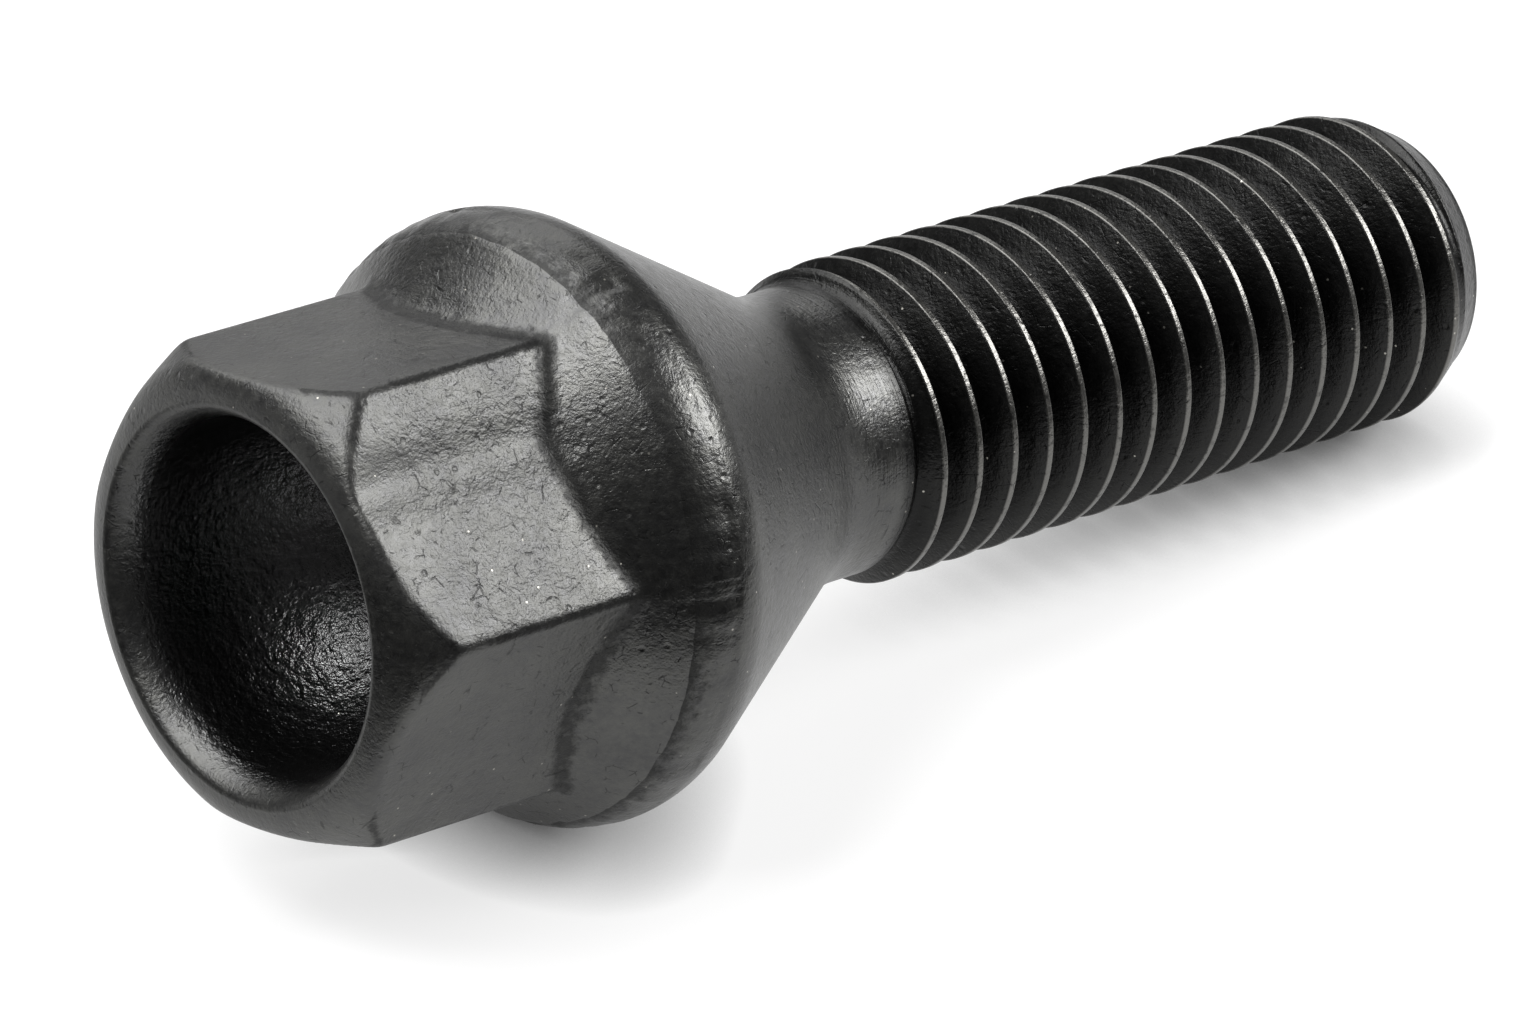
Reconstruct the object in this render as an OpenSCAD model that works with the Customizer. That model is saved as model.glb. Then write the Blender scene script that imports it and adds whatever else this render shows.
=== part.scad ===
// Wheel bolt: one forged and turned piece, standing on the rim of its hollow head.
// Its axis is Z, with the head's front at Z 0, the thread end up and two hex corners on the X axis.

/* [Head] */
// Width of the hex across its flats
hex_af = 16.7; // [16.5:0.1:17]
// Radius of the six hex corners
hex_corner_r = 0.6; // [0.3:0.1:0.8]
// Length from the head's front to the collar's front edge
head_l = 11.8; // [11.5:0.1:13]
// Radius at which the front rim is highest
crown_top_r = 7.15; // [7.1:0.01:7.2]
// Rounding radius on the outside of the front rim
crown_round_r = 2; // [1.8:0.1:2.2]
// Slope of the crown's chamfer across the hex corners, degrees from the front plane
crown_slope = 55; // [50:1:60]

/* [Recess in the head] */
// Radius of the recess at its mouth
recess_mouth_r = 6.7; // [6.6:0.05:6.8]
// Radius of the recess where its round bottom starts
recess_wall_r = 6.5; // [6.2:0.05:6.55]
// Depth at which the round bottom starts
recess_wall_depth = 3.5; // [2.5:0.1:4]

/* [Collar] */
// Largest diameter of the collar
collar_d = 22.6; // [22.2:0.1:23]
// Radius of the collar's barrel-shaped rim in section
rim_round_r = 3.05; // [2.9:0.05:3.4]
// How far the rim's front edge stands inside the largest radius
rim_front_drop = 0.5; // [0.4:0.05:0.6]
// How far the rim's rear edge stands inside the largest radius
rim_rear_drop = 0.3; // [0.2:0.05:0.35]
// Slope of the flare from the hex to the collar, degrees from the axis
flare_slope = 45; // [42:1:48]

/* [Seat and neck] */
// Included angle of the conical seat
seat_angle = 60; // [58:1:62]
// Fillet radius between the seat and the neck
neck_fillet_r = 5; // [4:0.5:6]
// Length of the plain neck behind the fillet
neck_l = 0.4; // [0.3:0.1:0.8]

/* [Thread blank] */
// Major diameter of the thread
thread_d = 12; // [11.8:0.1:12]
// Thread pitch, which sets the rolled blank's neck diameter
thread_pitch = 1.75; // [1.5:0.25:1.75]
// Length of the run-out from the neck up to the full thread diameter
runout_l = 1.2; // [1:0.1:2]
// Length from the head's front to the thread end
total_l = 56.6; // [50:0.1:62]
// Length of the thread end's chamfer
end_chamfer_l = 1.9; // [1.5:0.1:2]
// Radius at the small end of the thread end's chamfer
end_chamfer_r = 5.1; // [5.05:0.05:5.3]
// Edge break on the thread end face
end_edge = 0.25; // [0.2:0.05:0.3]

/* [Hidden] */
$fn = 96;
// arcs run this much past their tangent points, so that they meet their neighbours cleanly
ease = 0.002;

// hex
hex_in_r = hex_af / 2;
corner_centre_r = (hex_in_r - hex_corner_r) / cos(30);

// crown: a round from the front plane into a sloping chamfer
crown_end_r = crown_top_r + (crown_round_r - ease) * sin(crown_slope);
crown_end_z = crown_round_r - (crown_round_r - ease) * cos(crown_slope);
crown_far_r = hex_in_r / cos(30) + 1;
crown_far_z = crown_end_z + (crown_far_r - crown_end_r) * tan(crown_slope);

// recess: rounded lip, slightly tapered wall, round bottom tangent to the wall
lip_r = crown_top_r - recess_mouth_r;
wall_taper = atan((recess_mouth_r - recess_wall_r) / (recess_wall_depth - lip_r));
bowl_r = recess_wall_r / cos(wall_taper);
bowl_z = recess_wall_depth - bowl_r * sin(wall_taper);
bowl_lap = 0.3;

// collar: barrel rim, cut by the flare cone in front and the seat cone behind
collar_r = collar_d / 2;
rim_centre_r = collar_r - rim_round_r;
rim_front_r = collar_r - rim_front_drop;
rim_rear_r = collar_r - rim_rear_drop;
rim_centre_z = head_l + sqrt(pow(rim_round_r, 2) - pow(rim_front_r - rim_centre_r, 2));
rim_rear_z = rim_centre_z + sqrt(pow(rim_round_r, 2) - pow(rim_rear_r - rim_centre_r, 2));
flare_in_r = hex_in_r * 0.9;
flare_in_z = head_l - (rim_front_r - flare_in_r) / tan(flare_slope);
rim_lap = 0.02;

// seat cone and neck: the neck is the rolled thread's blank diameter
seat_half = seat_angle / 2;
flare_grow = tan(flare_slope);
seat_fall = tan(seat_half);
cones_gap = rim_rear_r + rim_rear_z * seat_fall - rim_front_r + head_l * flare_grow;
cones_z = cones_gap / (flare_grow + seat_fall);
cones_r = rim_front_r + (cones_z - head_l) * flare_grow;
neck_r = thread_d / 2 - 0.32476 * thread_pitch;
seat_neck_z = rim_rear_z + (rim_rear_r - neck_r) / tan(seat_half);
fillet_tangent_l = neck_fillet_r * tan(seat_half / 2);
fillet_z = seat_neck_z + fillet_tangent_l;
seat_end_z = seat_neck_z - fillet_tangent_l * cos(seat_half);
seat_end_r = neck_r + fillet_tangent_l * sin(seat_half);
neck_end_z = fillet_z + neck_l;

// thread blank
thread_r = thread_d / 2;
thread_z = neck_end_z + runout_l;
chamfer_z = total_l - end_chamfer_l;
end_face_r = end_chamfer_r - end_edge;

module hex_section() {
    // regular hexagon with true round corners
    polygon([for (k = [0:5], s = [-1, 1])
        let (a = 60 * k, b = a + 30 * s)
        [corner_centre_r * cos(a) + hex_corner_r * cos(b),
         corner_centre_r * sin(a) + hex_corner_r * sin(b)]]);
    for (k = [0:5])
        rotate([0, 0, 60 * k])
            translate([corner_centre_r, 0])
                circle(r = hex_corner_r + ease);
}

module crown_section() {
    // everything behind the crown's surface, used to round the front of the hex
    polygon([
        [0, 0],
        [crown_top_r, 0],
        [crown_end_r, crown_end_z],
        [crown_far_r, crown_far_z],
        [crown_far_r, head_l + 1],
        [0, head_l + 1]]);
    translate([crown_top_r, crown_round_r])
        circle(r = crown_round_r);
}

module cones_section() {
    // flare cone in front and seat cone behind, out to where their lines meet
    polygon([
        [0, flare_in_z],
        [flare_in_r, flare_in_z],
        [cones_r, cones_z],
        [seat_end_r, seat_end_z],
        [0, seat_end_z]]);
}

module rim_section() {
    // the barrel rim, and all that lies inside it
    translate([rim_centre_r, rim_centre_z])
        circle(r = rim_round_r);
    translate([0, flare_in_z - 1])
        square([rim_front_r - rim_lap, rim_centre_z - flare_in_z + 1]);
    translate([0, rim_centre_z - 1])
        square([rim_rear_r - rim_lap, seat_end_z - rim_centre_z + 2]);
}

module collar_section() {
    // collar, seat and neck, with the fillet cut out between them
    difference() {
        union() {
            intersection() {
                cones_section();
                rim_section();
            }
            polygon([
                [0, seat_end_z],
                [seat_end_r, seat_end_z],
                [neck_r, fillet_z],
                [neck_r, neck_end_z],
                [0, neck_end_z]]);
        }
        translate([neck_r + neck_fillet_r, fillet_z])
            circle(r = neck_fillet_r + ease);
    }
}

module thread_section() {
    // run-out, thread blank and end chamfer
    polygon([
        [0, neck_end_z],
        [neck_r, neck_end_z],
        [thread_r, thread_z],
        [thread_r, chamfer_z],
        [end_chamfer_r, total_l - end_edge],
        [end_face_r, total_l],
        [0, total_l]]);
}

module recess_section() {
    // mouth with a rounded lip, tapered wall
    difference() {
        polygon([
            [0, -1],
            [crown_top_r, -1],
            [crown_top_r, lip_r],
            [recess_mouth_r, lip_r],
            [recess_wall_r, recess_wall_depth],
            [0, recess_wall_depth]]);
        translate([crown_top_r, lip_r])
            circle(r = lip_r);
    }
    // round bottom
    intersection() {
        translate([0, bowl_z])
            circle(r = bowl_r + ease);
        translate([0, recess_wall_depth - bowl_lap])
            square([bowl_r + 1, bowl_r + 1]);
    }
}

module wheel_bolt() {
    color([0.11, 0.11, 0.11])
        difference() {
            union() {
                intersection() {
                    linear_extrude(height = head_l)
                        hex_section();
                    rotate_extrude()
                        crown_section();
                }
                rotate_extrude() {
                    collar_section();
                    thread_section();
                }
            }
            rotate_extrude()
                recess_section();
        }
}

wheel_bolt();
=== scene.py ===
# %% [markdown]
# # A wheel bolt in black phosphated steel
# The bolt was cold-headed from one steel blank: a hollow hex head, a flared collar with a
# barrel-shaped rim, a conical seat, a waisted neck and a rolled thread. In the library's frame it
# stands on its hollow head, because lying down it rolls.
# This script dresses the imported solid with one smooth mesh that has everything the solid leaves
# out: rounded edges, the helical thread, its run-out, and the skin of the coating.

# %% Load the frame
import math

import bmesh
import bpy
import numpy as np
from mathutils import Matrix, Vector, noise


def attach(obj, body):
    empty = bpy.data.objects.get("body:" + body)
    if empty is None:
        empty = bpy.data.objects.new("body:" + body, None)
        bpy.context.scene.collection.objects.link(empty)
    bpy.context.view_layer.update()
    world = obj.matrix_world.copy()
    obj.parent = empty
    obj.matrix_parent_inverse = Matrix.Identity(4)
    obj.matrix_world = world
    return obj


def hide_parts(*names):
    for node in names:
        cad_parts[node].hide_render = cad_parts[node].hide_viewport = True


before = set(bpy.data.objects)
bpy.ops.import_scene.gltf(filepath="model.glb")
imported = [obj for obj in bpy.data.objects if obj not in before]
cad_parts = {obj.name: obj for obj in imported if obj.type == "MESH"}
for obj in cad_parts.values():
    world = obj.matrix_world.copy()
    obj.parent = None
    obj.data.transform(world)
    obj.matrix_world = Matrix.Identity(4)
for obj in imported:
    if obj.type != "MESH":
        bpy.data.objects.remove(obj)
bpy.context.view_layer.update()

# %% [markdown]
# ## Sizes
# A bolt is made to a drawing, so the script starts with one. The sizes could be measured from
# the solid's mesh, but written down by name they can be read, and they are exact.
# They are the solid's own sizes, in millimetres: the axis is Z, the head's front is Z 0, the
# thread end is up, and two corners of the hex are on the X axis.

# %% Sizes of the head, the collar and the neck
HEX_ACROSS_FLATS = 16.7
HEX_CORNER_R = 0.6
HEAD_L = 11.8
CROWN_TOP_R = 7.15
CROWN_ROUND_R = 2.0
CROWN_SLOPE = math.radians(55)
RECESS_MOUTH_R = 6.7
RECESS_WALL_R = 6.5
RECESS_WALL_DEPTH = 3.5
RIM_R = 11.3
RIM_ROUND_R = 3.05
RIM_FRONT_R = RIM_R - 0.5
RIM_REAR_R = RIM_R - 0.3
SEAT_HALF_ANGLE = math.radians(30)
NECK_FILLET_R = 5.0
print("head", HEAD_L, "mm long,", HEX_ACROSS_FLATS, "mm across flats, collar", 2 * RIM_R, "mm")

# %% Sizes of the thread
THREAD_R = 6.0
PITCH = 1.75
NECK_R = THREAD_R - 0.32476 * PITCH
TOTAL_L = 56.6
CHAMFER_L = 1.9
CHAMFER_R = 5.1
END_EDGE = 0.25
# one place on a crest, read from the photograph: its height and its angle round the axis
CREST_Z = 25.90
CREST_TURN = math.radians(247.1)
print("neck radius", round(NECK_R, 3), "mm, length", TOTAL_L, "mm")

# %% Places that follow from the sizes
crown_end_z = CROWN_ROUND_R * (1 - math.cos(CROWN_SLOPE))
crown_end_r = CROWN_TOP_R + CROWN_ROUND_R * math.sin(CROWN_SLOPE)
rim_centre_r = RIM_R - RIM_ROUND_R
rim_centre_z = HEAD_L + math.sqrt(RIM_ROUND_R**2 - (RIM_FRONT_R - rim_centre_r) ** 2)
rim_rear_z = rim_centre_z + math.sqrt(RIM_ROUND_R**2 - (RIM_REAR_R - rim_centre_r) ** 2)
seat_neck_z = rim_rear_z + (RIM_REAR_R - NECK_R) / math.tan(SEAT_HALF_ANGLE)
fillet_l = NECK_FILLET_R * math.tan(SEAT_HALF_ANGLE / 2)
fillet_z = seat_neck_z + fillet_l
seat_end_z = seat_neck_z - fillet_l * math.cos(SEAT_HALF_ANGLE)
chamfer_z = TOTAL_L - CHAMFER_L
chamfer_slope = (THREAD_R - CHAMFER_R) / (TOTAL_L - END_EDGE - chamfer_z)
thread_from_z = fillet_z + 0.1
thread_to_z = TOTAL_L - 0.5
print("seat ends at", round(seat_end_z, 3), "neck fillet ends at", round(fillet_z, 3))

# %% [markdown]
# ## The table of the photograph
# The photograph shows the bolt lying on a white table, on its barrel rim and its last full turn
# of thread. The bolt itself can't be turned, because it has to stand in the library's frame. So
# table, camera and lamps are placed round a lying bolt, in the table's own axes, and one matrix
# turns them all together to the bolt as it stands here.

# %% From the table's axes to the standing bolt's
DOWN_SIDE = math.radians(101)
rest_l = math.hypot(chamfer_z - rim_centre_z, THREAD_R - rim_centre_r)
rest_fall = math.atan2(THREAD_R - rim_centre_r, chamfer_z - rim_centre_z)
tilt = math.asin(RIM_ROUND_R / rest_l) - rest_fall
lift = THREAD_R * math.cos(tilt) + chamfer_z * math.sin(tilt)
x_low = -CROWN_TOP_R * math.sin(tilt) - CROWN_ROUND_R * (1 - math.cos(tilt))
x_high = TOTAL_L * math.cos(tilt) + (CHAMFER_R - END_EDGE) * math.sin(tilt)
lay_down = Matrix.Rotation(math.pi / 2 + tilt, 4, "Y") @ Matrix.Rotation(-DOWN_SIDE, 4, "Z")
lay_down.translation = Vector((-(x_low + x_high) / 2, 0, lift)) / 1000
from_table = lay_down.inverted()
print("tilt", round(math.degrees(tilt), 3), "deg, axis height at the head", round(lift, 3), "mm")


def place_on_table(thing, where, facing):
    """Puts a camera or a lamp at a place over the table, looking along a direction."""
    turned = facing.to_track_quat("-Z", "Y").to_matrix().to_4x4()
    thing.matrix_world = from_table @ Matrix.Translation(where) @ turned


# %% [markdown]
# ## Camera
# The photograph was taken with a long lens, from 31 degrees above the table, and it looks at the
# head's open end from its left. A camera can be moved by eye until it looks right. Here its
# place and lens come from a fit to the bolt's outline, its hex corners and its crests in the
# photograph, so that the shapes can be compared line by line.

# %% Camera
camera_data = bpy.data.cameras.new("camera")
camera_data.sensor_width = 36
camera_data.lens = 262.99
camera_data.clip_start = 0.02
camera_data.clip_end = 20
camera = bpy.data.objects.new("camera", camera_data)
bpy.context.scene.collection.objects.link(camera)
camera_at = Vector((-0.235784, -0.261009, 0.216889))
looks_at = Vector((-0.008704, -0.006279, 0.01196))
place_on_table(camera, camera_at, looks_at - camera_at)
bpy.context.scene.camera = camera
bpy.context.scene.view_settings.view_transform = "Standard"
print("camera", round((looks_at - camera_at).length, 3), "m from the bolt")

# %% [markdown]
# ## Columns of the mesh
# A turned and forged bolt changes its section from hex to round without a seam. Separate
# pieces pushed into each other would leave a hard line there, so the whole bolt is one grid of
# rings. Its columns run along the bolt, and they crowd together at the six hex corners, where
# the surface turns 60 degrees within half a millimetre.

# %% Column angles
COLUMNS = 216
CROWDING = 0.75
even = np.arange(COLUMNS) * 2 * math.pi / COLUMNS
turn = even - CROWDING / 6 * np.sin(6 * even)
print(COLUMNS, "columns,", round(math.degrees(turn[1] - turn[0]), 2), "deg apart at the corners")


# %% Rounded corners between two shapes
def soft_min(a, b, k):
    """The smaller of two radii, with the edge between them rounded over the width k."""
    h = np.clip(0.5 + 0.5 * (b - a) / k, 0, 1)
    return b + (a - b) * h - k * h * (1 - h)


def soft_max(a, b, k):
    """The larger of two radii, with a fillet of the width k between them."""
    return -soft_min(-a, -b, k)


print("soft_min of 1 and 1 over 0.4:", float(soft_min(1.0, 1.0, 0.4)))

# %% [markdown]
# ## Hex
# The hex was squeezed up from a round blank in a die, so its corners are small rounds. Its
# radius is worked out for each column, as the flat's or the corner's, whichever is there. A
# hexagon with a Bevel modifier would do as well, but it wouldn't share its columns with the
# round parts behind it.
# One flat has a shallow groove along it, where the die was worn. It catches the light in the
# photograph as a change of slope, so it is in the mesh and not in the material.

# %% Radius of the hex
flat_r = HEX_ACROSS_FLATS / 2
corner_far = (flat_r - HEX_CORNER_R) / math.cos(math.radians(30))
corner_half = (flat_r - HEX_CORNER_R) * math.tan(math.radians(30))
sector = math.radians(60)
from_corner = np.abs((turn + sector / 2) % sector - sector / 2)
from_flat = sector / 2 - from_corner
on_flat = flat_r / np.cos(from_flat)
on_corner = corner_far * np.cos(from_corner) + np.sqrt(
    np.maximum(HEX_CORNER_R**2 - (corner_far * np.sin(from_corner)) ** 2, 0)
)
hex_r = np.where(flat_r * np.tan(from_flat) <= corner_half, on_flat, on_corner)
print("hex radius from", round(float(hex_r.min()), 3), "to", round(float(hex_r.max()), 3), "mm")

# %% Groove of the worn die on one flat
WORN_FLAT = math.radians(330)
GROOVE_DEPTH = 0.27
GROOVE_HALF = 0.8
GROOVE_ASIDE = 1.5
across_worn = hex_r * np.sin(turn - WORN_FLAT)
on_worn = np.cos(turn - WORN_FLAT) > math.cos(math.radians(29))
from_groove = (across_worn + GROOVE_ASIDE) / GROOVE_HALF
hex_r = hex_r - GROOVE_DEPTH * on_worn * np.exp(-(from_groove**2) / 2)
print("with the groove from", round(float(hex_r.min()), 3), "mm")

# %% [markdown]
# ## Head, collar, seat and neck
# Behind the crown the hex runs back into a flare. Forging fills that corner only up to a fillet,
# so the larger of the two radii is taken, softly. Then come the barrel rim, the seat cone and
# the neck, each an arc or a line of the drawing. The collar's front edge was never machined, so
# it is slightly nicked all round. One function that gives the radii at a height is enough for
# all of it, and any number of rings can be asked from it.

# %% Nicks of the collar's front edge
NICK_DEPTH = 0.08
NICK_EDGE = 0.04
edge_nicks = np.array(
    [noise.fractal(Vector((math.cos(a), math.sin(a), 0.3)) * 14, 0.6, 2.0, 4) for a in turn]
)
print("nicks up to", round(float(np.abs(edge_nicks).max()) * NICK_DEPTH, 3), "mm deep")

# %% Radius of a ring behind the crown
FILLET = 0.4
BARREL_FROM_Z = HEAD_L - 0.6


def barrel_r(z):
    """Radius of the barrel rim at height z."""
    return rim_centre_r + math.sqrt(RIM_ROUND_R**2 - (z - rim_centre_z) ** 2)


def outer_r(z):
    """Radii of the ring at height z, one for each column."""
    if z < rim_centre_z:
        hex_and_flare = soft_max(hex_r, RIM_FRONT_R - (HEAD_L - z), FILLET)
        if z < BARREL_FROM_Z:
            return hex_and_flare
        nicked = barrel_r(z) - NICK_EDGE + NICK_DEPTH * edge_nicks
        return soft_min(hex_and_flare, nicked, NICK_EDGE)
    if z < rim_rear_z:
        return np.full(COLUMNS, barrel_r(z))
    if z < seat_end_z:
        return np.full(COLUMNS, RIM_REAR_R - (z - rim_rear_z) * math.tan(SEAT_HALF_ANGLE))
    if z < fillet_z:
        sag = math.sqrt(NECK_FILLET_R**2 - (fillet_z - z) ** 2)
        return np.full(COLUMNS, NECK_R + NECK_FILLET_R - sag)
    return np.full(COLUMNS, NECK_R)


print("radius at the collar's front edge", round(float(outer_r(HEAD_L).min()), 2), "mm or more")

# %% [markdown]
# ## Where residue and painted shade go
# Dark residue of forging and coating stays where nothing rubs it off, and painted shade is laid
# with it: residue and painted shade along the hex corners and behind the collar's front edge,
# painted shade alone in the fillets, where the crease is in shade. A material could guess those
# places from the angle between faces, but that is slow and depends on the mesh. The rings know
# where the corners are, so each point gets a value from 0 to 1 that the material reads.

# %% Residue and painted shade on a ring
CORNER_LINE = 0.22
FILLET_BAND = 0.7
EDGE_BAND = 1.3


def residue_and_shade(z):
    """How much residue and painted shade the ring at height z gets, a value for each column."""
    flare = RIM_FRONT_R - (HEAD_L - z)
    # residue and painted shade along the hex corners
    corner = np.clip(1.3 - flat_r * from_corner / CORNER_LINE, 0, 1)
    corner = corner * float(crown_end_z + 0.5 < z < 10.6)
    # painted shade in the fillet between the hex and the flare, where the crease is in shade
    fillet = np.clip(1.15 - np.abs(hex_r - flare - 0.2) / FILLET_BAND, 0, 0.9)
    fillet = fillet * float(8.0 < z < HEAD_L)
    # painted shade, with residue, in a band on the rim just behind the collar's front edge
    edge = np.full(COLUMNS, 0.9 * float(z > HEAD_L) * max(0, 1 - (z - HEAD_L) / EDGE_BAND))
    return np.clip(np.maximum(np.maximum(corner, fillet), edge), 0, 1)


print("residue at the collar's edge:", round(float(residue_and_shade(HEAD_L + 0.01).max()), 2))

# %% [markdown]
# ## Rings
# The punch left a tapered hollow with a round bottom, and a lip that leans outwards over the
# last two millimetres. The crown is a round that runs into a chamfer, which cuts across the
# corners of the hex in curved edges. Such a section could be drawn as a curve and spun, but
# the hex isn't round. So the section is walked from the bottom of the recess over the lip and
# down the outside, and each step adds a ring with its own radii.

# %% A list of rings
ones = np.ones(COLUMNS)
rings = []


def ring(z, r, recess=0.0, grime_and_shade=0.0):
    """Adds a ring: its height, radii, and shares of recess finish and of residue and painted shade.
    """
    rings.append((z, r * ones, recess * ones, grime_and_shade * ones))


# %% Rings of the recess
RECESS_RINGS = 22
mouth_round = CROWN_TOP_R - RECESS_MOUTH_R
taper = math.atan((RECESS_MOUTH_R - RECESS_WALL_R) / (RECESS_WALL_DEPTH - mouth_round))
bowl_r = RECESS_WALL_R / math.cos(taper)
bowl_z = RECESS_WALL_DEPTH - bowl_r * math.sin(taper)
bowl_open = math.acos((RECESS_WALL_DEPTH - bowl_z) / bowl_r)
for a in np.linspace(bowl_open / RECESS_RINGS, bowl_open, RECESS_RINGS):
    ring(bowl_z + bowl_r * math.cos(a), bowl_r * math.sin(a), recess=1)
for z in (3.0, 2.4):
    ring(z, RECESS_WALL_R, recess=1)
print("recess", round(bowl_z + bowl_r, 2), "mm deep,", len(rings), "rings")

# %% Rings of the lip, which leans more and more towards the front
LIP_Z = (0, 0.1, 0.3, 0.6, 0.9, 1.3, 1.8)
LIP_LEAN = (74, 50, 35, 27, 19, 10, 0)
lip_z = np.linspace(LIP_Z[-1], 0, 25)
lip_lean = np.radians(np.interp(lip_z, LIP_Z, LIP_LEAN))
lip_steps = -np.diff(lip_z) * np.tan((lip_lean[1:] + lip_lean[:-1]) / 2)
lip_radii = RECESS_WALL_R + np.concatenate([[0], np.cumsum(lip_steps)])
for z, r in zip(lip_z, lip_radii):
    ring(z, r, recess=float(np.clip((z - 0.3) / 0.9, 0, 1)))
print("lip from", round(float(lip_radii[0]), 2), "to", round(float(lip_radii[-1]), 2), "mm")

# %% Rings of the crown: the round, then the chamfer across the hex corners
CROWN_EDGE = 0.3
CHAMFER_OUT_R = 10.1
for a in np.linspace(0.13, CROWN_SLOPE, 17):
    r = CROWN_TOP_R + CROWN_ROUND_R * math.sin(a)
    ring(CROWN_ROUND_R * (1 - math.cos(a)), soft_min(r * ones, hex_r, CROWN_EDGE))
for r in np.linspace(crown_end_r, CHAMFER_OUT_R, 13)[1:]:
    z = crown_end_z + (r - crown_end_r) * math.tan(CROWN_SLOPE)
    # residue and painted shade along the curved edges where the chamfer cuts the hex
    edge_grime_and_shade = np.clip(1.1 - np.abs(r - hex_r) / 0.25, 0, 0.9)
    ring(z, soft_min(r * ones, hex_r, CROWN_EDGE), grime_and_shade=edge_grime_and_shade)
crown_chamfer_z = rings[-1][0]
print("crown ends at", round(crown_chamfer_z, 2), "mm")

# %% Rings from the hex to the neck, close together where the shape turns
stations = [
    np.linspace(crown_chamfer_z, 8.2, 6)[1:],
    np.linspace(8.2, HEAD_L - 0.25, 24)[1:],
    np.linspace(HEAD_L - 0.25, HEAD_L + 0.15, 11)[1:],
    np.linspace(HEAD_L + 0.15, rim_rear_z, 17)[1:],
    np.linspace(rim_rear_z, seat_end_z, 10)[1:],
    np.linspace(seat_end_z, thread_from_z, 12)[1:],
]
for z in np.concatenate(stations):
    ring(z, outer_r(z), grime_and_shade=residue_and_shade(z))
neck_rings = len(rings)
print(neck_rings, "rings from the recess to the neck")


# %% Rings of the thread end: its chamfer, a broken edge and the plain end face
def chamfer_radius(z):
    """Radius of the thread end's chamfer at height z."""
    return THREAD_R - chamfer_slope * (z - chamfer_z)


edge_from_z = TOTAL_L - END_EDGE - 0.06
ring(thread_to_z, chamfer_radius(thread_to_z))
ring(edge_from_z, chamfer_radius(edge_from_z))
for a in np.linspace(0.15, 1, 5):
    ring(
        TOTAL_L - END_EDGE * (1 - math.sin(a * math.pi / 2)),
        CHAMFER_R - END_EDGE * (1 - math.cos(a * math.pi / 2)),
    )
for r in (4.6, 3.6, 2.4, 1.2):
    ring(TOTAL_L, r)
print(len(rings) - neck_rings, "rings at the thread end")

# %% [markdown]
# ## Thread
# The thread was rolled: its crests have a narrow flat, its flanks stand at 60 degrees, and its
# roots are round. It could be a profile swept along a spiral, but such a sweep cuts through
# itself where the thread fades out. The thread follows a rule, so Geometry Nodes make it: a
# flat grid is wrapped round the axis with its rows along the helix, so that every crest is one
# clean line of the mesh. Rows that would start before the run-out or end past the chamfer are
# pressed onto its first and last ring and merged there.


# %% One function to add a node
def add_node(tree, kind, inputs=None, **settings):
    """Adds a node, sets its settings, and links or sets its inputs."""
    made = tree.nodes.new(kind)
    for name, value in settings.items():
        setattr(made, name, value)
    for key, value in (inputs or {}).items():
        if isinstance(value, bpy.types.NodeSocket):
            tree.links.new(value, made.inputs[key])
        else:
            made.inputs[key].default_value = value
    return made


# %% Named inputs of the thread tree
thread_tree = bpy.data.node_groups.new("rolled thread", "GeometryNodeTree")
thread_sizes = {
    "Major Radius": THREAD_R,
    "Neck Radius": NECK_R,
    "Pitch": PITCH,
    "Groove Depth": 0.61343 * PITCH,
    "Root Radius": 0.1443 * PITCH,
    "From Z": thread_from_z,
    "To Z": thread_to_z,
    "Run-out From Z": fillet_z + 1.4,
    "Run-out To Z": fillet_z + 2.2,
    "Chamfer Z": chamfer_z,
    "Chamfer Slope": chamfer_slope,
    "Crest Z": CREST_Z - PITCH * CREST_TURN / (2 * math.pi),
    "Crowding": CROWDING,
    "Crest Unevenness": 0.004,
}
sockets = thread_tree.interface
sockets.new_socket("Geometry", in_out="INPUT", socket_type="NodeSocketGeometry")
for name in thread_sizes:
    sockets.new_socket(name, in_out="INPUT", socket_type="NodeSocketFloat")
sockets.new_socket("Steel", in_out="INPUT", socket_type="NodeSocketMaterial")
sockets.new_socket("Geometry", in_out="OUTPUT", socket_type="NodeSocketGeometry")
print("thread tree with", len(thread_sizes), "named sizes")

# %% A grid of columns and rows
ROWS_PER_TURN = 16
FIRST_TURN = -1
TURNS = 19
rows = ROWS_PER_TURN * TURNS
size = add_node(thread_tree, "NodeGroupInput").outputs
math_node = "ShaderNodeMath"
grid = add_node(
    thread_tree,
    "GeometryNodeMeshGrid",
    {"Size X": COLUMNS, "Size Y": rows, "Vertices X": COLUMNS + 1, "Vertices Y": rows + 1},
).outputs[0]
place = add_node(thread_tree, "GeometryNodeInputPosition").outputs[0]
xyz = add_node(thread_tree, "ShaderNodeSeparateXYZ", {0: place}).outputs
column = add_node(
    thread_tree, math_node, {0: xyz[0], 1: COLUMNS / 2}, operation="ADD"
).outputs[0]
row = add_node(thread_tree, math_node, {0: xyz[1], 1: rows / 2}, operation="ADD").outputs[0]
print("grid of", COLUMNS, "columns and", rows, "rows")

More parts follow.
